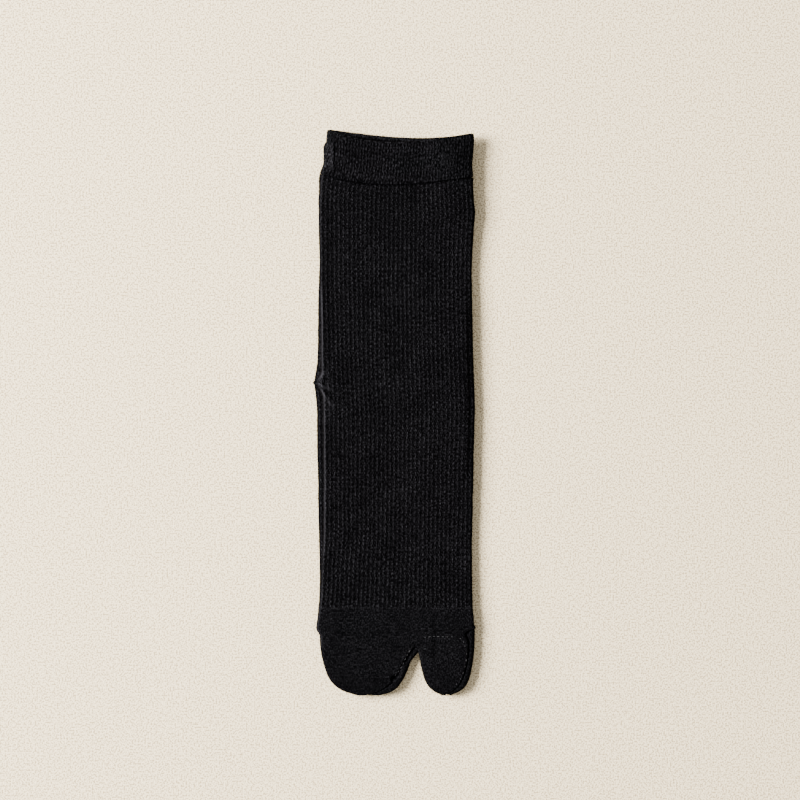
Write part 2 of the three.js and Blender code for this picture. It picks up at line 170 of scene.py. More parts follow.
# %% [markdown]
# ## How cloth lies
#
# Pressed knitwear is never quite even. It has long soft swells, a few creases where it was folded, and the
# heel's corner pulls a fan of short wrinkles into the cloth. Each crease is a row of a table: where it
# starts and ends, how high it stands, or how deep it goes, and how wide it is. A crease fades at its ends.

# %% Where the right side stands up, and the creases
RISE_COLUMNS = [("y", float), ("rise", float)]
RIGHT_RISE = np.array([
    (-169.0, 0.2), (-145.0, 0.2), (-127.0, 0.3), (-110.0, -0.1), (-82.0, -0.6), (-40.0, 0.0), (60.0, 0.0),
    (97.0, 0.3), (122.0, 1.9), (170.0, 2.2),
], dtype=RISE_COLUMNS)

CREASE_COLUMNS = [("x0", float), ("y0", float), ("x1", float), ("y1", float), ("height", float),
                  ("width", float)]
CREASES = np.array([
    # the cuff's left side, where a roll of cloth has been pressed into it
    (-35.5, 163.4, -35.6, 142.2, -0.95, 0.7),
    (-37.6, 161.4, -38.0, 144.6, 0.12, 1.1),
    # along the left fold of the leg: a soft valley, a roll beside it and a sharp crease
    (-38.2, 146.0, -37.4, 24.0, -0.42, 3.0),
    (-43.0, 78.0, -43.6, 22.0, 0.30, 0.55),
    (-41.6, 70.0, -42.2, 24.0, -0.26, 0.8),
    # the fan of wrinkles at the heel's ear
    (-47.0, 18.6, -39.6, 26.8, 0.42, 0.55),
    (-46.5, 18.0, -36.8, 20.2, -0.40, 0.60),
    (-46.5, 17.4, -36.0, 13.4, 0.42, 0.60),
    (-46.0, 16.6, -35.0, 7.0, -0.46, 0.65),
    (-45.6, 15.8, -35.6, 1.6, 0.40, 0.70),
    (-45.0, 14.8, -40.4, -0.6, -0.34, 0.60),
    (-11.2, 16.2, -4.6, 18.2, 0.24, 0.50),
    (-30.0, 15.0, -19.0, 11.5, -0.16, 1.4),
    # the foot and the toes
    (23.4, -118.0, 24.8, -152.0, -0.55, 2.0),
    (-34.9, -133.0, -33.4, -153.0, -0.30, 2.4),
    (-32.2, -131.7, -26.8, -131.5, -0.40, 0.50),
    (-8.0, -141.0, -15.0, -151.0, -0.12, 2.6),
], dtype=CREASE_COLUMNS)
print(f"{len(CREASES)} creases, the highest of {CREASES['height'].max()} mm")

# %% Swells, creases, the heel's ear and the cuff's sag
WOBBLE, WANDER, SWELL_HEIGHT = 0.12, 0.28, 0.16
HEEL_PILE, HEEL_FLAT, HEEL_FADE = 1.8, 36.5, 30
RISE_FROM_X, RISE_WIDTH = 14, 26
LOW_FROM_X, LOW_WIDTH, LOW_SHARE = 41.8, 5.0, 0.95
EAR_OUT, EAR_HALF_LENGTH, EAR_FADE = 5.5, 8.5, 1.8
SAG_FROM_Y, FRONT_SAG, BACK_SAG, SAG_TILT = 96, 5.8, 3.5, 1.3

chance = np.random.default_rng(11)
SWELLS = [
    (chance.uniform(16, 60), chance.uniform(0, math.tau), chance.uniform(0, math.tau), chance.uniform(0.5, 1))
    for _ in range(14)
]


def swell(x, y, turned=0.0):
    """Long soft unevenness, about 1 at most, from a sum of slow waves in all directions."""
    total = 0
    for length, heading, start, size in SWELLS:
        run = x * math.cos(heading + turned) + y * math.sin(heading + turned)
        total = total + size * np.sin(math.tau * run / length + start)
    return total / 4.2


def creased(x, y):
    """How far the creases raise or lower the cloth at each point."""
    total = 0
    for crease in CREASES:
        along = np.array([crease["x1"] - crease["x0"], crease["y1"] - crease["y0"]])
        length = np.hypot(*along)
        along = along / length
        run = (x - crease["x0"]) * along[0] + (y - crease["y0"]) * along[1]
        aside = (x - crease["x0"]) * -along[1] + (y - crease["y0"]) * along[0]
        fade = smooth(np.minimum(run, length - run) / (0.3 * length) + 0.2)
        total = total + crease["height"] * fade * np.exp(-((aside / crease["width"]) ** 2))
    return total


def heel_lift(y):
    """The upper sock's rise over the two heel pockets that lie folded under it."""
    return HEEL_PILE * (1 - smooth((np.abs(y - HEEL_Y) - HEEL_FLAT) / HEEL_FADE))


def right_rise(x, y):
    """How far the upper sock's right side stands off the lower sock."""
    return eased(RIGHT_RISE["y"], RIGHT_RISE["rise"], y) * smooth((x - RISE_FROM_X) / RISE_WIDTH)


def ear_pull(y, from_fold):
    """How far the heel's corner draws the left fold out into an ear."""
    share = np.maximum(0, 1 - np.abs(y - HEEL_Y) / EAR_HALF_LENGTH) ** 1.5
    return EAR_OUT * share * np.exp(-from_fold / EAR_FADE)


def cuff_drop(across, y, in_front):
    """How far the cuff's sag draws the cloth down, from its rim to where the sag dies out on the leg."""
    up_cuff = smooth((y - CUFF_SEAM_Y) / (RIM_Y - CUFF_SEAM_Y))
    if in_front:
        depth = FRONT_SAG + 0.8 * up_cuff - 2.2 * across
    else:
        depth = BACK_SAG + 1.0 * across
    share = smooth((y - SAG_FROM_Y) / (CUFF_SEAM_Y - SAG_FROM_Y))
    return share * (depth * (1 - across**2) + SAG_TILT * across)


print(f"{len(SWELLS)} swells, and a heel's ear of {EAR_OUT} mm")

# %% [markdown]
# ## A section of a flat tube
#
# A ring of points runs over the sock from its left fold to its right one and back along the underside.
# share is the place across, from 0 at the left fold to 1 at the right, measured along the cloth, so that
# the ribs go round the folds as evenly as they cross the flat. inset moves a ring into the wall.

# %% The two socks, and one section across
GAPE_FROM_Y = 90
UPPER = {"name": "upper", "floor": LOWER_HEIGHT + SEAM_GAP, "slipped": 0.0, "leg": 3.4, "cuff": 3.8,
         "toes": 3.2, "gape": 2.6, "rim_drop": 0.0, "cuff_wall": 1.6}
LOWER = {"name": "lower", "floor": 0.0, "slipped": 1.0, "leg": 3.2, "cuff": 3.2,
         "toes": 3.2, "gape": 0.0, "rim_drop": 7.0, "cuff_wall": 1.4}


def outline(left, right, low, high, reach, side, share):
    """One side of a flat section. Returns x, z and how far each point is from its fold."""
    half = (high - low) / 2
    quarter = (np.pi / 2) * np.hypot(reach, half) * np.sqrt(0.5)
    whole = right - left - 2 * reach + 2 * quarter
    along = np.minimum(share, 1 - share) * whole
    turn = np.clip(along / quarter, 0, 1) * np.pi / 2
    from_fold = reach * (1 - np.cos(turn)) + np.maximum(along - quarter, 0)
    x = np.where(share < 0.5, left + from_fold, right - from_fold)
    z = (high + low) / 2 + side * half * np.sin(turn)
    return x, z, from_fold


print("heights of the leg:", UPPER["leg"], "and", LOWER["leg"], "mm")


# %% How the cloth departs from a plain section
def laid(sock, x, y, z, from_fold, side, strength):
    """Adds the swells and creases to the side that shows, and lets the ribs wander a little."""
    guard = smooth(from_fold / 3.0)
    wander = WANDER * swell(y * 0.6, x * 0.5, 1.0)
    x = x + guard * wander
    if side > 0 and not sock["slipped"]:
        z = z + strength * guard * SWELL_HEIGHT * swell(x, y)
        z = z + strength * smooth(from_fold / 1.6) * creased(x, y)
    return x, z


def crotch_dip(sock, x, y):
    """1 away from the split's root, and less within a fold's reach of it, where the cloth rounds over."""
    away = np.hypot(x - SPLIT_X - sock["slipped"] * TOE_SLIP, y - SPLIT_Y)
    near = 1 - np.clip(away / FOLD_REACH, 0, 1)
    return np.maximum(0.35, np.sqrt(1 - near**2))


def crown(sock, y, across):
    """How far the front wall stands up towards the cuff's open rim."""
    return sock["gape"] * smooth((y - GAPE_FROM_Y) / (RIM_Y - GAPE_FROM_Y)) * (1 - np.abs(across) ** 6)


def puffed(sock, y, z, strip, share, from_fold):
    """The lower sock's toes swell into a roll where a strip of them sticks out from under the upper ones."""
    gap = 1.0 - 0.45 * smooth((-143 - y) / 6)
    edge = 1 - smooth((from_fold - strip + gap) / (gap - 0.1))
    return z * (1 + 1.1 * sock["slipped"] * edge * (share > 0.5) * smooth((-128.6 - y) / 1.8))


def crisp(sock, y, z, high, side, share, from_fold):
    """The upper sock's toes lie flat right up to their right folds, which are pressed sharp."""
    amount = 0.8 * smooth((-127.5 - y) / 3.0) * (share > 0.5) * smooth(from_fold / 0.5)
    return z if sock["slipped"] or side < 0 else z + (high - z) * amount


print("the open rim stands up by", float(crown(UPPER, RIM_Y, 0.0)), "mm")


# %% Points of the tube and of the toes
def tube_points(sock, piece, y, share, side, inset=0.0):
    """Points of the cuff, or of the leg, foot and toes down to the split, one row of them for each y."""
    y = np.asarray(y, float)[:, None]
    share = np.asarray(share, float)[None, :]
    inset = np.broadcast_to(np.asarray(inset, float).reshape(-1, 1), y.shape)
    slip = sock["slipped"] * fold("slip", y)
    wobble = WOBBLE * swell(y * 1.7, 40.0)
    left = fold("left", y) + slip + wobble
    wider = sock["slipped"] * fold("wider", y)
    right = fold("right", y) + slip + wobble + wider
    low = sock["floor"] + (0 if sock["slipped"] else heel_lift(y))
    toe_share = smooth((TOE_SEAM_Y + 3 - y) / 6)
    height = sock["cuff"] if piece == "cuff" else sock["leg"] + (sock["toes"] - sock["leg"]) * toe_share
    reach = FOLD_REACH - inset
    x, z, from_fold = outline(
        left + inset, right - inset, low + inset, low + height - inset, reach, side, share
    )
    if piece != "cuff":
        middle = low + height / 2
        z = middle + (z - middle) * crotch_dip(sock, x, y)
    across = np.clip((x - (left + right) / 2) / ((right - left) / 2), -1, 1)
    up_cuff = np.clip((y - CUFF_SEAM_Y) / (RIM_Y - CUFF_SEAM_Y), 0, 1)
    z = puffed(sock, y, z, slip + wider, share, from_fold)
    z = crisp(sock, y, z, low + height - inset, side, share, from_fold)
    if side > 0:
        z = z + crown(sock, y, across)
    if not sock["slipped"]:
        z = z + right_rise(x, y) - LOW_SHARE * heel_lift(y) * smooth((x - LOW_FROM_X) / LOW_WIDTH)
    x, z = laid(sock, x, y, z, from_fold, side, 1.0 if np.all(inset < 1) else 0.5)
    y = y - sock["rim_drop"] * smooth(up_cuff) - cuff_drop(across, y, side > 0)
    if not sock["slipped"]:
        x = x - ear_pull(y, from_fold) * (share < 0.5)
    return np.stack([x, y, z], axis=-1)


def notch(sock, lobe, y):
    """Beside the split the upper sock's closing stitch draws a notch into the small toes' edge."""
    in_notch = smooth((y + 160.6) / 1.6) * smooth((-156.2 - y) / 0.9)
    return 2.7 * in_notch * (lobe == "small") * (1 - sock["slipped"])


def toe_points(sock, lobe, place, share, side, inset=0.0):
    """Points of one lobe of the toes. place runs along the toe table's rows, from 0 at the split."""
    place = np.asarray(place, float)[:, None]
    share = np.asarray(share, float)[None, :]
    rows = np.arange(len(TOE_ENDS), dtype=float)
    slip = sock["slipped"] * TOE_SLIP
    y = eased(rows, TOE_ENDS["y"], place)
    left = eased(rows, TOE_ENDS[f"{lobe}_left"], place) + slip
    right = eased(rows, TOE_ENDS[f"{lobe}_right"], place) + slip
    wider = sock["slipped"] * eased(rows, TOE_ENDS["slack" if lobe == "small" else "wider"], place)
    right = right + wider - notch(sock, lobe, y)
    fullness = np.sqrt(1 - (1 - np.clip((y - TIP_Y + 0.4) / TIP_REACH, 0, 1)) ** 2)
    half = (sock["toes"] / 2 - inset) * fullness
    middle = sock["floor"] + sock["toes"] / 2
    x, z, from_fold = outline(
        left + inset * fullness, right - inset * fullness, middle - half, middle + half,
        (FOLD_REACH - inset) * fullness, side, share,
    )
    split_in = SPLIT_Y + SPLIT_WALL * inset
    y = split_in + (TIP_Y + inset - split_in) * (y - SPLIT_Y) / (TIP_Y - SPLIT_Y)
    z = puffed(sock, y, z, slip + wider, share, from_fold)
    z = crisp(sock, y, z, middle + half, side, share, from_fold)
    if not sock["slipped"]:
        z = z + right_rise(x, y)
    x, z = laid(sock, x, y, z, from_fold * fullness, side, 1.0 if inset < 1 else 0.3)
    return np.stack([x, y + 0 * x, z], axis=-1)


print("a ring at the heel:", tube_points(UPPER, "leg", [HEEL_Y], [0.0, 0.5, 1.0], 1).round(1).tolist())

# %% [markdown]
# ## From rings to a closed skin
#
# A wall of cloth is a closed skin: the outside, the inside, and the edges between them. Each point keeps
# four values that the knit needs later: rib, its place across counted in ribs; row, its place along the
# sock in millimetres; relief, which is 1 where ribs stand on it and 0 on a plain side; and the fourth, the
# light and shade painted into the colour: above 0 a painted highlight along the fold and on creases' ridges,
# below 0 painted shade in the seams, in creases' valleys, along the cuff's rim and in its mouth.

# %% A skin of points and faces
class Skin:
    """The points and faces of one closed piece of cloth, and the values that its knit follows."""

    def __init__(self):
        self.points, self.faces, self.count = [], [], 0
        self.values = {"rib": [], "row": [], "relief": [], "painted_light": []}

    def add(self, points, rib, row, relief, painted_light=0.0):
        """Adds a grid of points, and returns the grid of their numbers."""
        shape = points.shape[:-1]
        numbers = self.count + np.arange(int(np.prod(shape))).reshape(shape)
        self.count += numbers.size
        self.points.append(points.reshape(-1, 3))
        for title, value in zip(self.values, (rib, row, relief, painted_light)):
            self.values[title].append(np.broadcast_to(value, shape).reshape(-1))
        return numbers

    def band(self, grid, turned=False):
        """Closed rings, each joined to the next. Rows run from the cuff to the toes."""
        ring = np.roll(grid, -1, axis=1)
        quads = np.stack([grid[:-1], grid[1:], ring[1:], ring[:-1]], axis=-1).reshape(-1, 4)
        self.faces.extend((quads[:, ::-1] if turned else quads).tolist())

    def join_lines(self, first, first_at, second, second_at, turned=False):
        """Triangles between two lines of points that run the same way. at gives each point's place."""
        i, j = 0, 0
        while i < len(first) - 1 or j < len(second) - 1:
            next_i = first_at[i + 1] if i < len(first) - 1 else math.inf
            next_j = second_at[j + 1] if j < len(second) - 1 else math.inf
            if next_i <= next_j:
                face = [first[i], first[i + 1], second[j]]
                i += 1
            else:
                face = [first[i], second[j + 1], second[j]]
                j += 1
            self.faces.append(face[::-1] if turned else face)

    def object(self, name):
        """Makes the mesh, in metres, with a value of each kind at each point."""
        mesh = bpy.data.meshes.new(name)
        points = np.concatenate(self.points) + np.array([OVER_X, OVER_Y, 0.0])
        mesh.from_pydata((points / MM).tolist(), [], [[int(n) for n in face] for face in self.faces])
        for title, values in self.values.items():
            mesh.attributes.new(title, "FLOAT", "POINT").data.foreach_set(
                "value", np.concatenate(values).astype(np.float32)
            )
        mesh.validate()
        return in_scene(name, mesh)


# %% Rings over a sock and back along its underside
def ring_values(top, under):
    """One value for each point of a ring: first over the top, then back along the underside."""
    return np.concatenate([top, under[::-1][1:-1]])


def ring_places(top, under):
    """Each point's place round the ring, from 0 to 1, to match a fine ring with a coarse one."""
    return np.concatenate([top / 2, 1 - under[::-1][1:-1] / 2])


def rings(sock, piece, y, top, under, inset=0.0):
    """Whole rings round a sock, one for each y. The two folds belong to the top alone."""
    over = tube_points(sock, piece, y, top, 1, inset)
    below = tube_points(sock, piece, y, under, -1, inset)
    return np.concatenate([over, below[:, ::-1][:, 1:-1]], axis=1)


def closed(ring, places):
    """A ring with its first point again at the end, and its place a whole turn later."""
    return list(ring) + [ring[0]], list(places) + [1 + places[0]]


def sides(ring, count):
    """A ring's top and its underside, from the left fold to the right one, both with the folds."""
    return ring[:count], np.concatenate([ring[:1], ring[count:][::-1], ring[count - 1 : count]])


# %% Stops across a sock, from every sixth of a rib to whole ribs
RIBS, CUFF_RIBS, PER_RIB = 36, 50, 6
FINE = np.arange(RIBS * PER_RIB + 1)
SPLIT_STOP, ROOT_ROOM = 23 * PER_RIB, 2
LEFT_STRIP, RIGHT_STRIP = 6 * PER_RIB, 30 * PER_RIB
INSIDE_STOPS = np.unique(np.concatenate([FINE[:3:2], FINE[::PER_RIB], FINE[-3::2]]))
THIRD_STOPS = np.unique(np.concatenate([FINE[:3], FINE[::3], FINE[-3:]]))
EDGE_STOPS = np.unique(np.concatenate([FINE[:LEFT_STRIP], FINE[::PER_RIB], FINE[RIGHT_STRIP:]]))
print("stops across one side:", len(FINE), len(THIRD_STOPS), len(EDGE_STOPS), len(INSIDE_STOPS))

# %% [markdown]
# ## The leg, the foot and the toes
#
# They are one tube of knitting, with no seam between the ribbed foot and the smooth toes: the knitter only
# changes the stitch. So one piece stands for both. Below the split the ring divides. The points left of
# the split go round the small toes, those right of it go round the big toe, and one new point at the root
# of the split belongs to both.

# %% Where a highlight is painted along the fold, and where the cloth goes down into a seam
CLOTH_WIDTH, FOLD_HIGHLIGHT_AT, FOLD_HIGHLIGHT_WIDTH = 95.0, 1.9, 0.48
SEAM_DEPTH, SEAM_WIDTH = 0.45, 1.1


def seam_groove(y):
    """1 in the seam between the cuff and the leg, and 0 a millimetre below it."""
    return smooth((y - CUFF_SEAM_Y + SEAM_WIDTH) / SEAM_WIDTH)


def seam_fades(x):
    """The seam is pulled flat near the left fold."""
    return (0.12 + 0.88 * smooth((x + 34) / 12)) * (0.85 + 0.35 * swell(x * 2.3, 90.0))


def crease_light_and_shade(sock, points, on_top):
    """Painted light on the creases: a painted highlight on their ridges, and painted shade in their valleys.
    """
    if sock["slipped"]:
        return 0.0
    relief = creased(points[..., 0], points[..., 1]) * on_top
    return 1.8 * np.maximum(relief, 0) + 0.8 * np.minimum(relief + 0.12, 0)


def fold_highlight(sock, y, share):
    """A painted highlight on the crease where the upper sock is always folded, just inside its left edge."""
    along = share * CLOTH_WIDTH
    strength = 0.4 + 0.8 * smooth((y + 88) / 8) * smooth((80 - y) / 8)
    line = np.exp(-(((along - FOLD_HIGHLIGHT_AT) / FOLD_HIGHLIGHT_WIDTH) ** 2)) * (1 - sock["slipped"])
    at_ear = 1 - smooth((np.abs(y - HEEL_Y) - 1.2) / 2.4)
    return strength * line * (1 - 0.6 * at_ear)


# This is where the fold's painted highlight lies.
print(f"the rubbed crease is {FOLD_HIGHLIGHT_AT} mm from the fold")


# %% Build the tube and its two lobes
def sock_skin(sock, skin, top, under, step, lobe_steps, inset, turned):
    """One skin of the leg, foot and toes. Returns its first ring, at the cuff, and the places round it."""
    length = CUFF_SEAM_Y - SPLIT_Y
    y = CUFF_SEAM_Y - length * np.linspace(0, 1, int(round(length / step)) + 1)
    y[-1] = SPLIT_Y + SPLIT_WALL * inset
    y = y[(y > y[-1] + 0.2 * step) | (np.arange(len(y)) == len(y) - 1)]
    top_share, under_share = top / FINE[-1], under / FINE[-1]
    outside = 0.0 if turned else 1.0
    ribbed = outside * smooth((y - TOE_SEAM_Y + 0.8) / 1.6)[:, None]
    groove = seam_groove(y)[:, None] * outside
    on_top = ring_values(np.ones_like(top_share), np.zeros_like(under_share))[None, :]
    shares = ring_values(top_share, under_share)[None, :]
    points = rings(sock, "leg", y, top_share, under_share, inset)
    groove = groove * seam_fades(points[..., 0])
    points[..., 2] -= SEAM_DEPTH * groove * on_top
    # The fourth value paints a highlight along the fold and on creases' ridges, and painted shade in creases'
    # valleys and in the seam's groove.
    grid = skin.add(
        points,
        RIBS * shares,
        y[:, None],
        ribbed,
        outside * (fold_highlight(sock, y[:, None], shares) * on_top + crease_light_and_shade(sock, points, on_top))
        - 0.8 * groove,
    )
    skin.band(grid, turned)

    over, below = sides(grid[-1], len(top))
    over_root = int(np.searchsorted(top, SPLIT_STOP))
    below_root = int(np.searchsorted(under, SPLIT_STOP))
    root = np.array([[SPLIT_X + sock["slipped"] * TOE_SLIP, y[-1], sock["floor"] + sock["toes"] / 2]])
    root_number = skin.add(root, RIBS * SPLIT_STOP / FINE[-1], y[-1], 0.0)[0]
    rows = len(TOE_ENDS) - 1
    place = np.linspace(0, rows, lobe_steps + 1)[1:]
    for lobe in ("small", "big"):
        if lobe == "small":
            on, back = slice(0, over_root + 1), slice(1, below_root + 1)
            span = SPLIT_STOP + ROOT_ROOM
            stops_over, stops_below = np.append(top[on] / span, 1.0), under[back] / span
            first = np.concatenate([over[on], [root_number], below[back][::-1]])
            ribs_over = np.append(top[on], SPLIT_STOP)
        else:
            on, back = slice(over_root, None), slice(below_root, -1)
            start, span = SPLIT_STOP - ROOT_ROOM, FINE[-1] - SPLIT_STOP + ROOT_ROOM
            stops_over, stops_below = np.append(0.0, (top[on] - start) / span), (under[back] - start) / span
            first = np.concatenate([[root_number], over[on], below[back][::-1]])
            ribs_over = np.append(SPLIT_STOP, top[on])
        up = toe_points(sock, lobe, place, stops_over, 1, inset)
        down = toe_points(sock, lobe, place, stops_below, -1, inset)
        points = np.concatenate([up, down[:, ::-1]], axis=1)
        ribs = RIBS * np.concatenate([ribs_over, under[back][::-1]]) / FINE[-1]
        over_side = (np.arange(points.shape[1]) < up.shape[1]).astype(float)[None, :]
        painted_light = outside * crease_light_and_shade(sock, points, over_side)
        lobe_grid = skin.add(points, ribs[None, :], points[:, :1, 1], 0.0, painted_light)
        skin.band(np.concatenate([first[None, :], lobe_grid]), turned)
        tip_over, tip_below = sides(lobe_grid[-1], len(stops_over))
        below_at = np.concatenate([[0.0], stops_below, [1.0]])
        skin.join_lines(tip_below, below_at, tip_over, stops_over, turned)
    return grid[0], ring_places(top_share, under_share)


def sock_tube(sock, name, top, under, step, lobe_steps):
    """A whole sock below its cuff: a fine skin outside, a coarse one inside, joined at the top."""
    skin = Skin()
    outer, outer_at = sock_skin(sock, skin, top, under, step, lobe_steps, 0.0, False)
    inner, inner_at = sock_skin(sock, skin, INSIDE_STOPS, INSIDE_STOPS, 6.0, 14, LEG_WALL, True)
    skin.join_lines(*closed(outer, outer_at), *closed(inner, inner_at))
    return skin.object(name)


upper_foot = sock_tube(UPPER, "upper_sock_leg_foot_and_toes", FINE, THIRD_STOPS, 1.25, 40)
lower_foot = sock_tube(LOWER, "lower_sock_leg_foot_and_toes", EDGE_STOPS, FINE[::2], 2.2, 36)
print("faces:", len(upper_foot.data.polygons), len(lower_foot.data.polygons))

# %% [markdown]
# ## The cuffs
#
# The cuff is a band of fine elastic rib that is turned over at the top, so its rim is a round edge. The
# front of the upper one stands a little open. The band's lower edge rounds in to the leg, which leaves the
# narrow groove that shows where a cuff starts.

# %% Build the cuffs
def cuff_band(sock, name, fine_under):
    wall = sock["cuff_wall"]
    half = wall / 2
    turns = np.linspace(0, np.pi, 9)
    rim_y = RIM_Y - half + half * np.sin(turns)
    rim_inset = half - half * np.cos(turns)
    seam_y = CUFF_SEAM_Y + 0.15
    foot_turns = np.linspace(0, np.pi / 2, 6)[1:]
    foot_y = seam_y + 0.65 - 0.65 * np.sin(foot_turns)
    foot_inset = 0.65 - 0.65 * np.cos(foot_turns)
    body_y = np.linspace(RIM_Y - half, seam_y + 0.65, 34)[1:]
    y = np.concatenate([rim_y[::-1], body_y, foot_y])
    inset = np.concatenate([rim_inset[::-1], 0 * body_y, foot_inset])
    top = np.linspace(0, 1, CUFF_RIBS * 6 + 1)
    under = top if fine_under else top[::3]
    skin = Skin()
    shares = ring_values(top, under)[None, :]
    on_top = ring_values(np.ones_like(top), np.zeros_like(under))[None, :]
    points = rings(sock, "cuff", y, top, under, inset)
    x, up = points[..., 0], y[:, None]
    pressed = smooth((-35.8 - x) / 0.8) * smooth((up - 143) / 5) * smooth((163 - up) / 3) * on_top
    relief = (np.clip(1 - inset / 0.5, 0, 1) * smooth((RIM_Y - y) / 1.2))[:, None] * (1 - 0.85 * pressed)
    # Painted highlight along the fold, less where the roll is pressed in, and on creases' ridges; painted
    # shade in the seam's groove and along the rim, where the mouth is in shade.
    painted_light = 0.5 * fold_highlight(sock, up, shares) * (1 - pressed) + crease_light_and_shade(sock, points, on_top)
    painted_light = painted_light - 0.75 * smooth((seam_y + 0.7 - up) / 0.7) * seam_fades(x)
    painted_light = painted_light - 0.5 * smooth((up - RIM_Y + 0.8) / 0.5)
    grid = skin.add(points, CUFF_RIBS * shares, up, relief, painted_light)
    skin.band(grid)
    coarse = INSIDE_STOPS / FINE[-1]
    inner_y = np.linspace(RIM_Y - half - 0.4, seam_y, 18)
    # The inside is painted in shade below the rim, as the mouth is in shade.
    inner = skin.add(
        rings(sock, "cuff", inner_y, coarse, coarse, wall),
        CUFF_RIBS * ring_values(coarse, coarse)[None, :],
        inner_y[:, None],
        0.0,
        -0.9 * smooth((RIM_Y - 1.6 - inner_y) / 1.2)[:, None],
    )
    skin.band(inner, turned=True)
    at, inner_at = ring_places(top, under), ring_places(coarse, coarse)
    skin.join_lines(*closed(grid[0], at), *closed(inner[0], inner_at), turned=False)
    skin.join_lines(*closed(grid[-1], at), *closed(inner[-1], inner_at), turned=True)
    return skin.object(name)


upper_cuff = cuff_band(UPPER, "upper_sock_cuff", False)
lower_cuff = cuff_band(LOWER, "lower_sock_cuff", True)
print("faces:", len(upper_cuff.data.polygons), len(lower_cuff.data.polygons))

# %% [markdown]
# ## The heel pockets
#
# A heel is a pocket, knitted in short rows, that stands out of the tube. In a sock that is pressed flat it
# folds into a double tongue. Both tongues lie between the two socks, out of sight, so each is one rounded
# form with a groove round its edge, where the two layers part.

# %% Build the folded heel pockets
def heel_tongue(sock, name, direction):
    low, thick, length, half_width = LOWER_HEIGHT + SEAM_GAP, 1.5, 34.0, 40.0
    centre = HEEL_X[sock["name"]]
    turns = np.linspace(0, np.pi / 2 * 0.985, 34)
    along = length * np.sin(turns)
    width = half_width * np.cos(turns) ** 0.45
    edge = np.linspace(0, 1, 9)
    across = np.unique(np.concatenate([edge * 0.03, np.linspace(0.03, 0.97, 90), 1 - edge * 0.03]))
    tip = np.sqrt(np.clip((length - along + 0.1) / 2.2, 0, 1))[:, None]
    low_z, high_z = low + thick / 2 * (1 - tip), low + thick / 2 * (1 + tip)
    left, right = (centre - width)[:, None], (centre + width)[:, None]
    y = (HEEL_Y + direction * (SEAM_GAP + along))[:, None]
    sheets = []
    for side in (1, -1):
        x, z, from_fold = outline(left, right, low_z, high_z, 1.1 * tip, side, across[None, :])
        groove = 0.35 * np.exp(-((from_fold / 0.35) ** 2))
        x = np.where(across[None, :] < 0.5, x + groove, x - groove)
        sheets.append(np.stack([x, y + 0 * x, z], axis=-1))
    points = np.concatenate([sheets[0], sheets[1][:, ::-1][:, 1:-1]], axis=1)
    if direction > 0:
        points = points[::-1]
    skin = Skin()
    ribs = RIBS * ring_values(across, across)
    grid = skin.add(points, ribs[None, :], points[:, :1, 1], 0.0)
    skin.band(grid)
    for row, turned in ((grid[0], True), (grid[-1], False)):
        over, below = sides(row, len(across))
        skin.join_lines(below, across, over, across, turned)
    return skin.object(name)


upper_heel = heel_tongue(UPPER, "upper_sock_heel", -1)
lower_heel = heel_tongue(LOWER, "lower_sock_heel", 1)
print("faces:", len(upper_heel.data.polygons), len(lower_heel.data.polygons))

# %% [markdown]
# ## Knitted ribs with Geometry Nodes
#
# A rib knit is a row of rounded ridges with narrow grooves between them. They could be a bump in the
# material, but then the sock's edge would stay smooth and side light would find nothing to catch. So a
# tree moves each point into the wall by the groove's depth there. The ridges' tops stay where the pressed
# sock's surface is. The same tree serves the leg and the cuff, with other sizes.

# %% Helpers for node trees
def add_node(tree, kind, inputs=(), **settings):
    """Adds a node. inputs holds constants for its sockets, by name or number."""
    made = tree.nodes.new(kind)
    for key, value in settings.items():
        setattr(made, key, value)
    for key, value in dict(inputs).items():
        made.inputs[key].default_value = value
    return made


def link(tree, *pairs):
    """Links each pair. A node in the first place stands for its first output."""
    for start, end in pairs:
        tree.links.new(getattr(start, "outputs", [start])[0], end)


def maths(tree, operation, *values):
    """A Math node whose inputs are numbers or other nodes' outputs. Returns its output."""
    made = add_node(tree, "ShaderNodeMath", operation=operation)
    for socket, value in zip(made.inputs, values):
        if isinstance(value, (int, float)):
            socket.default_value = value
        else:
            tree.links.new(value, socket)
    return made.outputs[0]


def new_tree(name, kind, inputs, outputs):
    """A tree with named inputs and outputs, each a title and a kind of socket. Returns all three."""
    tree = bpy.data.node_groups.new(name, kind)
    for side, sockets in (("INPUT", inputs), ("OUTPUT", outputs)):
        for title, socket in sockets:
            tree.interface.new_socket(title, in_out=side, socket_type=f"NodeSocket{socket}")
    return tree, add_node(tree, "NodeGroupInput").outputs, add_node(tree, "NodeGroupOutput").inputs


def finish_tree(tree, geometry, material, result):
    """Ends a tree with real geometry in place of instances, and its material."""
    real = add_node(tree, "GeometryNodeRealizeInstances")
    paint = add_node(tree, "GeometryNodeSetMaterial")
    link(tree, (geometry, real.inputs[0]), (real, paint.inputs["Geometry"]),
         (material, paint.inputs["Material"]), (paint, result[0]))


# %% The rib tree
ALONG_RIB = 0.22


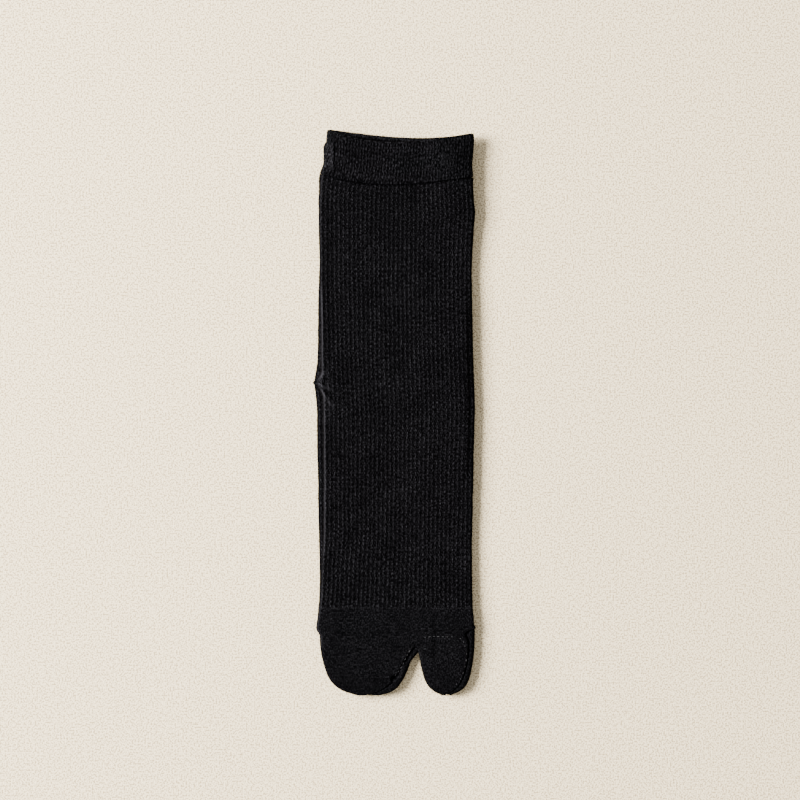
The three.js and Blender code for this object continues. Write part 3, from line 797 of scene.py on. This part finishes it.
def rib_tree():
    tree, given, result = new_tree(
        "Knitted ribs", "GeometryNodeTree",
        (("Geometry", "Geometry"), ("Groove Depth", "Float"), ("Groove Sharpness", "Float"),
         ("Unevenness", "Float"), ("Cloth", "Material")),
        (("Geometry", "Geometry"),),
    )
    sums = partial(maths, tree)
    rib, row, relief = (
        add_node(tree, "GeometryNodeInputNamedAttribute", {"Name": title}, data_type="FLOAT")
        .outputs["Attribute"]
        for title in ("rib", "row", "relief")
    )
    wave = sums("COSINE", sums("MULTIPLY", rib, math.tau))
    valley = sums("MULTIPLY_ADD", wave, -0.5, 0.5)
    groove = sums("POWER", valley, given["Groove Sharpness"])
    place = add_node(tree, "ShaderNodeCombineXYZ")
    noise = add_node(tree, "ShaderNodeTexNoise", {"Scale": 1.0, "Detail": 2.0})
    link(tree, (rib, place.inputs[0]), (sums("MULTIPLY", row, ALONG_RIB), place.inputs[1]),
         (place, noise.inputs["Vector"]))
    uneven = sums("SUBTRACT", noise.outputs[0], 0.5)
    uneven = sums("MULTIPLY", uneven, given["Unevenness"])
    depth = sums("MULTIPLY", groove, given["Groove Depth"])
    depth = sums("MULTIPLY", depth, sums("ADD", uneven, 1.0))
    depth = sums("MULTIPLY", sums("MULTIPLY", depth, relief), -1 / MM)
    normal = add_node(tree, "GeometryNodeInputNormal")
    inward = add_node(tree, "ShaderNodeVectorMath", operation="SCALE")
    move = add_node(tree, "GeometryNodeSetPosition")
    link(tree, (normal, inward.inputs[0]), (depth, inward.inputs["Scale"]),
         (given["Geometry"], move.inputs["Geometry"]), (inward, move.inputs["Offset"]))
    finish_tree(tree, move.outputs[0], given["Cloth"], result)
    return tree


def settle(made, tree, **sizes):
    """Puts a node tree on an object, turns what it makes into a plain mesh, and takes the tree off."""
    modifier = made.modifiers.new(tree.name, "NODES")
    modifier.node_group = tree
    identifiers = {s.name: s.identifier for s in tree.interface.items_tree if s.in_out == "INPUT"}
    for title, value in sizes.items():
        modifier[identifiers[title.replace("_", " ")]] = value
    graph = bpy.context.evaluated_depsgraph_get()
    mesh = bpy.data.meshes.new_from_object(made.evaluated_get(graph), depsgraph=graph)
    made.modifiers.remove(modifier)
    if made.type == "CURVE":
        name = made.name
        bpy.data.objects.remove(made)
        made = in_scene(name, mesh)
    else:
        made.data = mesh
    mesh.polygons.foreach_set("use_smooth", [True] * len(mesh.polygons))
    mesh.update()
    return made


ribs = rib_tree()
print("inputs of the rib tree:", [s.name for s in ribs.interface.items_tree if s.in_out == "INPUT"])

# %% [markdown]
# ## The knit as a material
#
# Seen close, every ridge is made of columns of V-shaped stitches. They are far too many to model, so they
# are a pattern of height and colour that follows the rib and row values of the cloth. The pattern is a
# shader node group, because the rib, the cuff and the smooth toes all use it, each with its own sizes.
# Black cotton reflects very little: the yarn is almost black with a cool tint, and only loose fibres on
# top of it catch light.

# %% The stitch pattern as a node group
def new_material(name):
    """A material, its tree and its shader."""
    made = bpy.data.materials.new(name)
    made.use_nodes = True
    return made, made.node_tree, made.node_tree.nodes["Principled BSDF"]


def noise_of(tree, vector, scale, detail, low, high):
    """Noise along a vector, spread so that low becomes 0 and high becomes 1."""
    noise = add_node(tree, "ShaderNodeTexNoise", {"Scale": scale, "Detail": detail})
    spread = add_node(tree, "ShaderNodeMapRange", {"From Min": low, "From Max": high})
    link(tree, (vector, noise.inputs["Vector"]), (noise, spread.inputs["Value"]))
    return spread.outputs[0]


def stitch_group():
    tree, given, result = new_tree(
        "Knitted stitches", "ShaderNodeTree",
        (("Columns per rib", "Float"), ("Stitch length", "Float"), ("Groove shade", "Float"),
         ("Fuzz", "Float"), ("Streaks per rib", "Float"), ("Streak length", "Float"),
         ("Yarn", "Color"), ("Fibre", "Color")),
        (("Color", "Color"), ("Roughness", "Float"), ("Height", "Float")),
    )
    sums = partial(maths, tree)
    rib, row, relief, painted_light = (
        add_node(tree, "ShaderNodeAttribute", attribute_name=title).outputs["Fac"]
        for title in ("rib", "row", "relief", "painted_light")
    )

    # One column of V-shaped stitches after another, each with two rounded legs.
    column = sums("FRACT", sums("MULTIPLY", rib, given["Columns per rib"]))
    off_middle = sums("ABSOLUTE", sums("SUBTRACT", column, 0.5))
    leg = sums("FRACT", sums("MULTIPLY", column, 2.0))
    leg = sums("MULTIPLY_ADD", leg, 2.0, -1.0)
    round_leg = sums("SUBTRACT", 1.0, sums("MULTIPLY", leg, leg))
    run = sums("DIVIDE", row, given["Stitch length"])
    run = sums("ADD", run, sums("MULTIPLY", off_middle, 1.2))
    wave = sums("COSINE", sums("MULTIPLY", run, math.tau))
    height = sums("MULTIPLY", round_leg, sums("MULTIPLY_ADD", wave, 0.28, 0.72))

    # Loose fibres: streaks that follow the columns, and specks without a direction.
    place = add_node(tree, "ShaderNodeCombineXYZ")
    link(tree, (sums("MULTIPLY", rib, given["Streaks per rib"]), place.inputs[0]),
         (sums("DIVIDE", row, given["Streak length"]), place.inputs[1]))
    where = add_node(tree, "ShaderNodeTexCoord").outputs["Object"]
    streak = noise_of(tree, place.outputs[0], 1.0, 0.0, 0.52, 0.74)
    speck = noise_of(tree, where, 1250.0, 1.0, 0.56, 0.78)
    patch = noise_of(tree, where, 70.0, 3.0, 0.2, 0.8)
    fuzz = sums("MULTIPLY", sums("ADD", streak, speck), given["Fuzz"])
    fuzz = sums("MULTIPLY", fuzz, sums("MULTIPLY_ADD", patch, 0.8, 0.6))
    # Where a highlight is painted, more fibre colour is mixed in and the colour is lightened.
    painted_highlight = sums("MAXIMUM", painted_light, 0.0)
    fuzz = sums("MULTIPLY_ADD", painted_highlight, sums("MULTIPLY_ADD", streak, 0.8, 0.6), fuzz)
    # The stitches' tops are mixed a little towards the fibre colour: a small painted highlight.
    share = add_node(tree, "ShaderNodeClamp")
    mix = add_node(tree, "ShaderNodeMix", data_type="RGBA")
    link(tree, (sums("MULTIPLY_ADD", height, 0.07, fuzz), share.inputs[0]),
         (share, mix.inputs["Factor"]), (given["Yarn"], mix.inputs["A"]),
         (given["Fibre"], mix.inputs["B"]))

    # The grooves between ribs are painted darker than their depth alone makes them: painted shade that leaves
    # a narrow lit line on each crest. Then the fourth value adds its painted shade and its painted highlight.
    groove = sums("COSINE", sums("MULTIPLY", rib, math.tau))
    crest = sums("POWER", sums("MULTIPLY_ADD", groove, 0.5, 0.5), 3.0)
    groove = sums("MULTIPLY", sums("SUBTRACT", 1.0, crest), relief)
    light_and_shade_scale = sums("SUBTRACT", 1.0, sums("MULTIPLY", groove, given["Groove shade"]))
    painted_shade = sums("MAXIMUM", sums("MULTIPLY", painted_light, -0.75), 0.0)
    light_and_shade_scale = sums("MULTIPLY", light_and_shade_scale, sums("SUBTRACT", 1.0, painted_shade))
    light_and_shade_scale = sums("MULTIPLY", light_and_shade_scale, sums("MULTIPLY_ADD", painted_highlight, 0.45, 1.0))
    shaded = add_node(tree, "ShaderNodeVectorMath", operation="SCALE")
    link(tree, (mix.outputs["Result"], shaded.inputs[0]), (light_and_shade_scale, shaded.inputs["Scale"]),
         (shaded, result["Color"]),
         (sums("MULTIPLY_ADD", speck, 0.1, 0.8), result["Roughness"]),
         (sums("MULTIPLY_ADD", speck, 0.9, height), result["Height"]))
    return tree


stitches = stitch_group()
print("nodes in the stitch pattern:", len(stitches.nodes))

# %% The three knits
YARN, FIBRE = (0.0002, 0.0002, 0.0003, 1), (0.021, 0.021, 0.025, 1)

def knit_material(name, columns, stitch, groove, fuzz, streaks, bump):
    """A knit. columns is the stitches across one rib, and stitch the length of one in millimetres."""
    made, tree, shader = new_material(name)
    group = add_node(tree, "ShaderNodeGroup", {
        "Columns per rib": columns, "Stitch length": stitch, "Groove shade": groove, "Fuzz": fuzz,
        "Streaks per rib": streaks[0], "Streak length": streaks[1], "Yarn": YARN, "Fibre": FIBRE,
    }, node_tree=stitches)
    raised = add_node(tree, "ShaderNodeBump", {"Strength": 1.0, "Distance": bump})
    link(tree, (group.outputs["Color"], shader.inputs["Base Color"]),
         (group.outputs["Roughness"], shader.inputs["Roughness"]),
         (group.outputs["Height"], raised.inputs["Height"]), (raised, shader.inputs["Normal"]))
    shader.inputs["Specular IOR Level"].default_value = 0.003
    return made


rib_knit = knit_material("black_rib_knit", 2.0, 1.15, 0.66, 0.88, (9.0, 1.4), 0.00018)
cuff_knit = knit_material("black_cuff_knit", 1.0, 1.0, 0.55, 0.70, (5.0, 1.8), 0.00014)
plain_knit = knit_material("black_plain_knit", 3.0, 0.8, 0.0, 0.40, (7.0, 1.2), 0.00014)
print("knits:", rib_knit.name, cuff_knit.name, plain_knit.name)

# %% Raise the ribs and put the knit on each piece
for piece, depth, sharp, cloth in (
    (upper_foot, 0.27, 0.8, rib_knit),
    (lower_foot, 0.27, 0.8, rib_knit),
    (upper_cuff, 0.28, 0.9, cuff_knit),
    (lower_cuff, 0.28, 0.9, cuff_knit),
    (upper_heel, 0.0, 1.0, plain_knit),
    (lower_heel, 0.0, 1.0, plain_knit),
):
    settle(piece, ribs, Groove_Depth=depth, Groove_Sharpness=sharp, Unevenness=0.7, Cloth=cloth)

# The toes are knitted plain, so their faces take the plain knit.
for foot in (upper_foot, lower_foot):
    mesh = foot.data
    mesh.materials.append(plain_knit)
    toe_line = (TOE_SEAM_Y + OVER_Y) / MM
    for face in mesh.polygons:
        if face.center.y < toe_line:
            face.material_index = 1
print("slots of the foot:", [m.name for m in upper_foot.data.materials])

# %% [markdown]
# ## Stitches that close the toes
#
# The toes are linked closed with a chain of thicker stitches. It crosses the big toe and runs down beside
# the split. Such a chain repeats along a path, so Geometry Nodes set a small bead of thread at even steps
# along a curve that lies on the cloth.

# %% The chain of beads
def chain_tree():
    tree, given, result = new_tree(
        "Chain of stitches", "GeometryNodeTree",
        (("Geometry", "Geometry"), ("Spacing", "Float"), ("Bead Length", "Float"), ("Bead Width", "Float"),
         ("Thread", "Material")),
        (("Geometry", "Geometry"),),
    )
    points = add_node(tree, "GeometryNodeCurveToPoints", mode="LENGTH")
    bead = add_node(tree, "GeometryNodeMeshUVSphere", {"Segments": 8, "Rings": 6, "Radius": 0.5})
    size = add_node(tree, "ShaderNodeCombineXYZ")
    vary = add_node(tree, "FunctionNodeRandomValue", {2: 0.3, 3: 1.15, "Seed": 5}, data_type="FLOAT")
    scaled = add_node(tree, "ShaderNodeVectorMath", operation="SCALE")
    put = add_node(tree, "GeometryNodeInstanceOnPoints")
    link(tree, (given["Geometry"], points.inputs["Curve"]), (given["Spacing"], points.inputs["Length"]),
         (given["Bead Width"], size.inputs[0]), (given["Bead Width"], size.inputs[1]),
         (given["Bead Length"], size.inputs[2]), (size, scaled.inputs[0]),
         (vary.outputs[1], scaled.inputs["Scale"]), (points.outputs["Points"], put.inputs["Points"]),
         (bead, put.inputs["Instance"]), (points.outputs["Rotation"], put.inputs["Rotation"]),
         (scaled, put.inputs["Scale"]))
    finish_tree(tree, put.outputs[0], given["Thread"], result)
    return tree


chain = chain_tree()
print("inputs of the chain tree:", [s.name for s in chain.interface.items_tree if s.in_out == "INPUT"])


# %% Thread, and a helper for any finely grained material
def grained(name, grain_inputs, colours, stops, roughness, shine):
    """A material whose colour runs from dark to light with a fine noise. Returns it and the noise."""
    made, tree, shader = new_material(name)
    where = add_node(tree, "ShaderNodeTexCoord")
    grain = add_node(tree, "ShaderNodeTexNoise", grain_inputs)
    ramp = add_node(tree, "ShaderNodeValToRGB")
    for place, (colour, stop) in enumerate(zip(colours, stops)):
        ramp.color_ramp.elements[place].color = colour
        ramp.color_ramp.elements[place].position = stop
    link(tree, (where.outputs["Object"], grain.inputs["Vector"]), (grain, ramp.inputs[0]),
         (ramp, shader.inputs["Base Color"]))
    shader.inputs["Roughness"].default_value = roughness
    shader.inputs["Specular IOR Level"].default_value = shine
    return made, grain


thread, _ = grained("black_thread", {"Scale": 900.0}, ((0.010, 0.010, 0.012, 1), (0.036, 0.036, 0.042, 1)),
                    (0.38, 0.62), 0.7, 0.3)
print("thread:", thread.name)

# %% Where the chains run
CHAINS = {
    "upper_big_toe_chain": (2.5, 1.5, [(18.2, -134.2), (23.0, -133.6), (29.3, -133.8), (34.0, -133.8),
                                       (38.6, -134.4), (41.4, -137.4), (42.6, -142.0)]),
    "upper_big_toe_edge_chain": (3.5, 1.3, [(43.0, -144.0), (42.6, -149.0), (41.4, -154.0), (39.6, -158.6),
                                            (37.0, -162.0)]),
    "upper_split_chain": (2.7, 1.3, [(10.3, -140.0), (8.4, -143.2), (6.6, -146.6), (4.8, -150.6),
                                     (3.0, -153.6), (0.6, -156.6)]),
}
BEAD_WIDTH, EDGE_SINKS = 0.45, 0.15
top_z = LOWER_HEIGHT + SEAM_GAP + UPPER["toes"]


def chain_line(name, spacing, bead, path):
    """Lays a curve on the cloth through the path's points, and sets beads along it."""
    data = bpy.data.curves.new(name, "CURVE")
    data.dimensions = "3D"
    spline = data.splines.new("POLY")
    at = np.linspace(0, len(path) - 1, 60)
    knots = np.arange(len(path), dtype=float)
    x, y = (eased(knots, np.array(path)[:, i], at) for i in (0, 1))
    spline.points.add(len(at) - 1)
    for point, px, py in zip(spline.points, x, y):
        z = top_z + float(creased(np.array(px), np.array(py)) + right_rise(np.array(px), np.array(py)))
        if name != "upper_big_toe_chain":
            z -= EDGE_SINKS
        point.co = ((px + OVER_X) / MM, (py + OVER_Y) / MM, z / MM, 1)
    return settle(in_scene(name, data), chain, Spacing=spacing / MM, Bead_Length=bead / MM,
                  Bead_Width=BEAD_WIDTH / MM, Thread=thread)


chains = [chain_line(name, *how) for name, how in CHAINS.items()]
print("beads:", [len(c.data.polygons) for c in chains])

# %% [markdown]
# ## What each piece stands for
#
# Each piece takes the place of its plain solids and moves with the model's one body.

DECLARED = (
    (upper_foot, ("upper_leg_and_foot", "upper_toes"), "rib_knit", (0.183, 0.3102), 0.0555, chains),
    (upper_cuff, ("upper_cuff",), "cuff_knit", (0.182, 0.0268), None, ()),
    (upper_heel, ("upper_heel",), "plain_knit", (0.080, 0.034), 0.0024, ()),
    (lower_foot, ("lower_leg_and_foot", "lower_toes"), "rib_knit", (0.183, 0.3102), 0.0555, ()),
    (lower_cuff, ("lower_cuff",), "cuff_knit", (0.182, 0.0268), None, ()),
    (lower_heel, ("lower_heel",), "plain_knit", (0.080, 0.034), 0.0024, ()),
)
for piece, nodes, slot, flat, area, trim in DECLARED:
    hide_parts(*nodes)
    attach(piece, "root")
    for bead_row in trim:
        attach(bead_row, "root")
    print(piece.name, "stands for", nodes)

# %% [markdown]
# ## The floor, the light and the camera
#
# Black cloth needs one clear light from the side to show its ribs, and a pale floor that throws some of it
# back. A large soft lamp on the left, half way up, gives shadows with a soft edge about as wide as the
# pair is thick, and the plain surroundings fill them.

# %% Floor
FLOOR_HALF, FLOOR_Z, PAPER_RELIEF = 2.0, -0.00005, 0.0004
floor_mesh = bpy.data.meshes.new("floor")
corners = [(x * FLOOR_HALF, y * FLOOR_HALF, FLOOR_Z) for x, y in ((-1, -1), (1, -1), (1, 1), (-1, 1))]
floor_mesh.from_pydata(corners, [], [(0, 1, 2, 3)])
floor = in_scene("floor", floor_mesh)
paper, paper_grain = grained("warm_paper", {"Scale": 1050.0, "Detail": 1.0},
                             ((0.46, 0.36, 0.215, 1), (1.0, 0.855, 0.575, 1)), (0.36, 0.56), 0.9, 0.1)
paper_tree = paper.node_tree
paper_bump = add_node(paper_tree, "ShaderNodeBump", {"Strength": 0.8, "Distance": PAPER_RELIEF})
link(paper_tree, (paper_grain, paper_bump.inputs["Height"]),
     (paper_bump.outputs[0], paper_tree.nodes["Principled BSDF"].inputs["Normal"]))
floor_mesh.materials.append(paper)
print("floor:", paper.name)

# %% Light
world = bpy.data.worlds.new("plain_surroundings")
bpy.context.scene.world = world
world.use_nodes = True
sky = world.node_tree.nodes["Background"].inputs
sky["Color"].default_value = (1.0, 0.97, 0.93, 1)
sky["Strength"].default_value = 0.62


def lamp(name, place, size, power, colour):
    """A square lamp that points at the pair."""
    data = bpy.data.lights.new(name, "AREA")
    data.shape = "SQUARE"
    data.size = size
    data.energy = power
    data.color = colour
    made = in_scene(name, data)
    made.location = place
    made.rotation_euler = (-Vector(place)).to_track_quat("-Z", "Y").to_euler()
    return made


key_lamp = lamp("key_lamp", (-2.38, 0.50, 1.77), 1.5, 560.0, (1.0, 0.96, 0.90))
print(f"the lamp is {key_lamp.location.length:.1f} m away")

# %% Camera
PIXEL, IMAGE_WIDTH, SENSOR = 0.5985, 800, 36.0
CAMERA_HEIGHT, PAIR_MIDDLE_Z = 1.9, 0.0045
VIEW_MIDDLE_X, VIEW_MIDDLE_Y = 3.18, 7.77
camera_data = bpy.data.cameras.new("camera")
camera = in_scene("camera", camera_data)
camera_data.sensor_width = SENSOR
camera_data.lens = SENSOR * (CAMERA_HEIGHT - PAIR_MIDDLE_Z) / (IMAGE_WIDTH * PIXEL / MM)
camera_data.clip_end = 20.0
camera.location = ((VIEW_MIDDLE_X + OVER_X) / MM, (VIEW_MIDDLE_Y + OVER_Y) / MM, CAMERA_HEIGHT)
bpy.context.scene.camera = camera
print(f"lens {camera_data.lens:.0f} mm at {camera.location.z:.1f} m")
